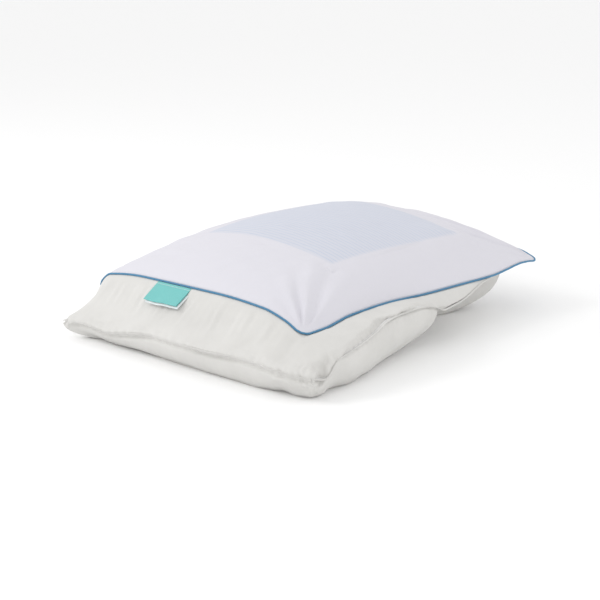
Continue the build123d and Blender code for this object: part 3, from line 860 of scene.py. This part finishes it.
def ribbon_profile(length, front, back):
    """Distance and offset of points down a ribbon and, where front and back differ, up again."""
    tip = length + RIBBON_TAIL
    along = np.linspace(RIBBON_START, tip, RIBBON_STEPS[0])
    profile = [(d, front) for d in along]
    if front != back:
        middle, size = (front + back) / 2, (back - front) / 2
        for turn in np.linspace(-math.pi / 2, math.pi / 2, FOLD_STEPS)[1:-1]:
            profile.append((tip + abs(size) * math.cos(turn), middle + size * math.sin(turn)))
        profile += [(d, back) for d in along[::-1]]
    return profile


def make_ribbon(name, length, low_y, high_y, front, back):
    """A ribbon hanging from the piping, folded over at its free end if its front and back differ."""
    rows = []
    for d, offset in ribbon_profile(length, front, back):
        row = []
        for y in np.linspace(low_y, high_y, RIBBON_STEPS[1]):
            t, share = (y - low_y) / (high_y - low_y), d / length
            sway = SWAY * math.sin(t * SWAY_TURNS + SWAY_PHASE) * share**2
            sway += FLUTTER * math.sin(t * FLUTTER_TURNS + d * FLUTTER_LEAN) * share
            row.append(label_point(d, offset - sway, y))
        rows.append(row)
    rows = np.array(rows)
    ribbon = new_mesh(name, rows.reshape(-1, 3), grid_faces(rows.shape[0], rows.shape[1]))
    solid = ribbon.modifiers.new("thickness", "SOLIDIFY")
    solid.thickness = RIBBON_THICKNESS * MM
    solid.offset = 0
    return ribbon


# ---- materials ----


def material(name, color, roughness, sheen=0.0):
    """A cloth material; returns it with its nodes, links and shader."""
    made = bpy.data.materials.new(name)
    made.use_nodes = True
    nodes, links = made.node_tree.nodes, made.node_tree.links
    shader = nodes["Principled BSDF"]
    shader.inputs["Base Color"].default_value = (*color, 1)
    shader.inputs["Roughness"].default_value = roughness
    shader.inputs["Specular IOR Level"].default_value = 0.25
    shader.inputs["Sheen Weight"].default_value = sheen
    shader.inputs["Sheen Roughness"].default_value = 0.5
    return made, nodes, links, shader


def object_position(nodes):
    """Position on the piece, in metres."""
    return nodes.new("ShaderNodeTexCoord").outputs["Object"]


def maths(nodes, links, kind, a, b=None, clamp=False):
    """One Math node; a and b are sockets or numbers."""
    node = nodes.new("ShaderNodeMath")
    node.operation = kind
    node.use_clamp = clamp
    for socket, value in zip(node.inputs, (a, b)):
        if value is None:
            continue
        if isinstance(value, (int, float)):
            socket.default_value = value
        else:
            links.new(value, socket)
    return node.outputs[0]


def split_position(nodes, links, position):
    """The X, Y and Z of a position."""
    split = nodes.new("ShaderNodeSeparateXYZ")
    links.new(position, split.inputs[0])
    return split.outputs


def color_mix(nodes, links, factor, a, b):
    """One colour Mix node; a is a socket or a colour, b a colour."""
    node = nodes.new("ShaderNodeMix")
    node.data_type = "RGBA"
    links.new(factor, node.inputs["Factor"])
    if isinstance(a, tuple):
        node.inputs["A"].default_value = (*a, 1)
    else:
        links.new(a, node.inputs["A"])
    node.inputs["B"].default_value = (*b, 1)
    return node.outputs["Result"]


def weave_height(nodes, links, position, pitch):
    """Height pattern of a plain weave with threads along X and Y."""
    split = split_position(nodes, links, position)
    turn = 2 * math.pi / (pitch * MM)
    wave_x = maths(nodes, links, "SINE", maths(nodes, links, "MULTIPLY", split[0], turn))
    wave_y = maths(nodes, links, "SINE", maths(nodes, links, "MULTIPLY", split[1], turn))
    return maths(nodes, links, "MULTIPLY", wave_x, wave_y)


def add_bump(nodes, links, shader, height, strength, distance):
    """Bump from a height pattern; distance is in millimetres."""
    bump_node = nodes.new("ShaderNodeBump")
    bump_node.inputs["Strength"].default_value = strength
    bump_node.inputs["Distance"].default_value = distance * MM
    links.new(height, bump_node.inputs["Height"])
    links.new(bump_node.outputs[0], shader.inputs["Normal"])


def noise(nodes, links, position, scale, detail=3.0):
    """Noise pattern; scale is in cycles to a metre."""
    node = nodes.new("ShaderNodeTexNoise")
    node.inputs["Scale"].default_value = scale
    node.inputs["Detail"].default_value = detail
    links.new(position, node.inputs["Vector"])
    return node.outputs["Fac"]


def tint_mask(nodes, links, axes):
    """1 where the gel pad shows through the cover, fading out at its edges."""
    masks = []
    for axis in (0, 1):
        lean = maths(nodes, links, "MULTIPLY", axes[1 - axis], TINT_LEAN[axis])
        place = maths(nodes, links, "ADD", axes[axis], lean)
        off_centre = maths(nodes, links, "SUBTRACT", place, TINT_CENTRE[axis] * MM)
        away = maths(nodes, links, "ABSOLUTE", off_centre)
        edge = maths(nodes, links, "SUBTRACT", TINT_HALF[axis] * MM, away)
        masks.append(maths(nodes, links, "MULTIPLY", edge, TINT_SHARPNESS, clamp=True))
    return maths(nodes, links, "MULTIPLY", masks[0], masks[1])


def gel_lines(nodes, links, axes):
    """Broken lines of the gel, shifted from row to row."""
    turn = 2 * math.pi / (GEL_PITCH * MM)
    wave = maths(nodes, links, "COSINE", maths(nodes, links, "MULTIPLY", axes[0], turn))
    line = maths(nodes, links, "POWER", maths(nodes, links, "ABSOLUTE", wave), GEL_LINE_POWER)
    row = maths(nodes, links, "FLOOR", maths(nodes, links, "DIVIDE", axes[0], GEL_PITCH * MM / 2))
    along = maths(nodes, links, "MULTIPLY", axes[1], 2 * math.pi / (DASH_LENGTH * MM))
    shift = maths(nodes, links, "MULTIPLY", row, DASH_SHIFT)
    dash = maths(nodes, links, "SINE", maths(nodes, links, "ADD", along, shift))
    dash = maths(nodes, links, "ADD", maths(nodes, links, "MULTIPLY", dash, 0.4), 0.6)
    return maths(nodes, links, "MULTIPLY", line, dash)


def cover_material():
    """Smooth percale, tinted where the gel pad's lines show through."""
    made, nodes, links, shader = material("cover_percale", COVER_COLOR, roughness=0.8, sheen=0.05)
    position = object_position(nodes)
    axes = split_position(nodes, links, position)
    inside = tint_mask(nodes, links, axes)
    line = maths(nodes, links, "MULTIPLY", gel_lines(nodes, links, axes), inside)
    line = maths(nodes, links, "MULTIPLY", line, GEL_LINE_STRENGTH)
    tinted = color_mix(nodes, links, inside, COVER_COLOR, PAD_COLOR)
    lined = color_mix(nodes, links, line, tinted, GEL_LINE_COLOR)
    links.new(lined, shader.inputs["Base Color"])
    weave = weave_height(nodes, links, position, pitch=0.6)
    soft = noise(nodes, links, position, scale=60.0)
    height = maths(nodes, links, "ADD", maths(nodes, links, "MULTIPLY", weave, 0.25), soft)
    add_bump(nodes, links, shader, height, strength=0.25, distance=0.5)
    return made


def inner_material():
    """Thin warm nonwoven fabric with a faint uneven look."""
    made, nodes, links, shader = material("inner_nonwoven", INNER_COLORS[1], roughness=0.85, sheen=0.1)
    position = object_position(nodes)
    cloudy = noise(nodes, links, position, scale=22.0, detail=5.0)
    links.new(color_mix(nodes, links, cloudy, *INNER_COLORS), shader.inputs["Base Color"])
    fine = noise(nodes, links, position, scale=900.0, detail=2.0)
    coarse = noise(nodes, links, position, scale=90.0, detail=4.0)
    height = maths(nodes, links, "ADD", maths(nodes, links, "MULTIPLY", fine, 0.3), coarse)
    add_bump(nodes, links, shader, height, strength=0.35, distance=0.9)
    return made


def ribbed_material(name, color, roughness, pitch, sheen=0.0):
    """Woven ribbon or tape."""
    made, nodes, links, shader = material(name, color, roughness, sheen)
    position = object_position(nodes)
    weave = weave_height(nodes, links, position, pitch)
    add_bump(nodes, links, shader, weave, strength=0.4, distance=0.3)
    return made


def give(piece, made):
    """Sets a piece's material."""
    piece.data.materials.clear()
    piece.data.materials.append(made)


def paint_node(node, made):
    """Assigns a material to a CAD node."""
    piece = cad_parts[node]
    if not piece.material_slots:
        piece.data.materials.append(made)
    for place in piece.material_slots:
        place.material = made


# ---- stage ----


def make_stage():
    """Floor, world and two soft lights."""
    bpy.ops.mesh.primitive_plane_add(size=FLOOR_SIZE, location=(0, 0, 0))
    floor = bpy.context.object
    floor.name = "studio_floor"
    floor.data.materials.append(material("floor_paper", FLOOR_COLOR, 0.95)[0])
    world = bpy.data.worlds.new("studio")
    world.use_nodes = True
    world.node_tree.nodes["Background"].inputs["Color"].default_value = (*WHITE, 1)
    world.node_tree.nodes["Background"].inputs["Strength"].default_value = WORLD_STRENGTH
    bpy.context.scene.world = world
    for light in LIGHTS:
        add_light(*light)
    bpy.context.scene.view_settings.view_transform = "Standard"


def add_light(name, place, size, watts):
    """A square soft light aimed at the pillow."""
    data = bpy.data.lights.new(name, "AREA")
    data.size = size
    data.energy = watts
    lamp = bpy.data.objects.new(name, data)
    lamp.location = place
    lamp.rotation_euler = (LIGHT_TARGET - Vector(place)).to_track_quat("-Z", "Y").to_euler()
    bpy.context.scene.collection.objects.link(lamp)


def make_camera():
    """Camera low off the near right corner."""
    azimuth, elevation = math.radians(CAMERA_AZIMUTH), math.radians(CAMERA_ELEVATION)
    back = Vector((
        math.sin(azimuth) * math.cos(elevation),
        -math.cos(azimuth) * math.cos(elevation),
        math.sin(elevation),
    ))
    data = bpy.data.cameras.new("camera")
    data.lens = CAMERA_LENS
    data.sensor_width = CAMERA_SENSOR
    data.shift_x, data.shift_y = CAMERA_SHIFT
    camera = bpy.data.objects.new("camera", data)
    camera.location = CAMERA_TARGET + back * CAMERA_DISTANCE
    camera.rotation_euler = (-back).to_track_quat("-Z", "Y").to_euler()
    bpy.context.scene.collection.objects.link(camera)
    bpy.context.scene.camera = camera


make_stage()
make_camera()

thread = material("thread", (0.78, 0.78, 0.78), roughness=0.6)[0]
cover_cloth = cover_material()
inner_cloth = inner_material()
blue_tape = ribbed_material("piping_tape", (0.085, 0.25, 0.42), roughness=0.7, pitch=0.5, sheen=0.1)
teal_satin = ribbed_material("label_teal", (0.185, 0.57, 0.55), roughness=0.5, pitch=0.45, sheen=0.1)
white_satin = ribbed_material("care_white", (0.82, 0.86, 0.87), roughness=0.5, pitch=0.45)
fibre = material("fibre", (0.8, 0.8, 0.79), roughness=0.95)[0]
gel = material("gel", (0.35, 0.55, 0.85), roughness=0.3)[0]

panel, panel_points = make_cover_panel()
give(panel, cover_cloth)
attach(panel, PILLOW)
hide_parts("cover_top_panel")

pillow = make_inner_pillow()
give(pillow, inner_cloth)
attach(pillow, PILLOW)
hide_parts("inner_shell_top", "inner_shell_bottom")
hem = make_facing()

fill = make_fill(pillow)
give(fill, fibre)
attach(fill, PILLOW)
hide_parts("fibre_fill")

sleeve, cord = make_piping(panel_points)
for piece, made, slot, node in (
    (sleeve, blue_tape, "piping_fabric", "piping_sleeve"),
    (cord, thread, "cord", "piping_cord"),
):
    give(piece, made)
    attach(piece, PILLOW)
    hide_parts(node)

stitches = make_edge_stitches(panel_points)
give(stitches, thread)
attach(stitches, PILLOW)

allowance = make_seam_band("seam_allowance_band", outer_inset=1.5, inner_inset=9.0, thickness=0.8)
overlock = make_seam_band("overlock_band", outer_inset=9.2, inner_inset=11.0, thickness=1.2)
for piece, made, slot, node in (
    (hem, cover_cloth, "cover_fabric", "cover_edge_facing"),
    (allowance, inner_cloth, "inner_fabric", "seam_allowance"),
    (overlock, thread, "thread", "overlock_thread"),
    (make_tacks(), thread, "thread", "tack_stitches"),
):
    give(piece, made)
    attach(piece, PILLOW)
    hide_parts(node)

tab = make_ribbon("folded_label", LABEL_LENGTH, *LABEL_Y, front=-0.5, back=0.5)
give(tab, teal_satin)
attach(tab, LABEL)
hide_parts("brand_label")

care_y = [y - CARE_SHIFT_Y for y in LABEL_Y]
leaf = make_ribbon("white_leaf", CARE_LENGTH, *care_y, front=CARE_OFFSET, back=CARE_OFFSET)
give(leaf, white_satin)
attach(leaf, LABEL)
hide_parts("care_label")

NODE_LOOKS = {
    "closing_stitches": thread,
    "gel_pad_film": cover_cloth,
    "gel_pad_backing": cover_cloth,
    "gel_strips": gel,
    "gel_pad_stitching": thread,
    "label_stitches": thread,
}
for node, made in NODE_LOOKS.items():
    paint_node(node, made)
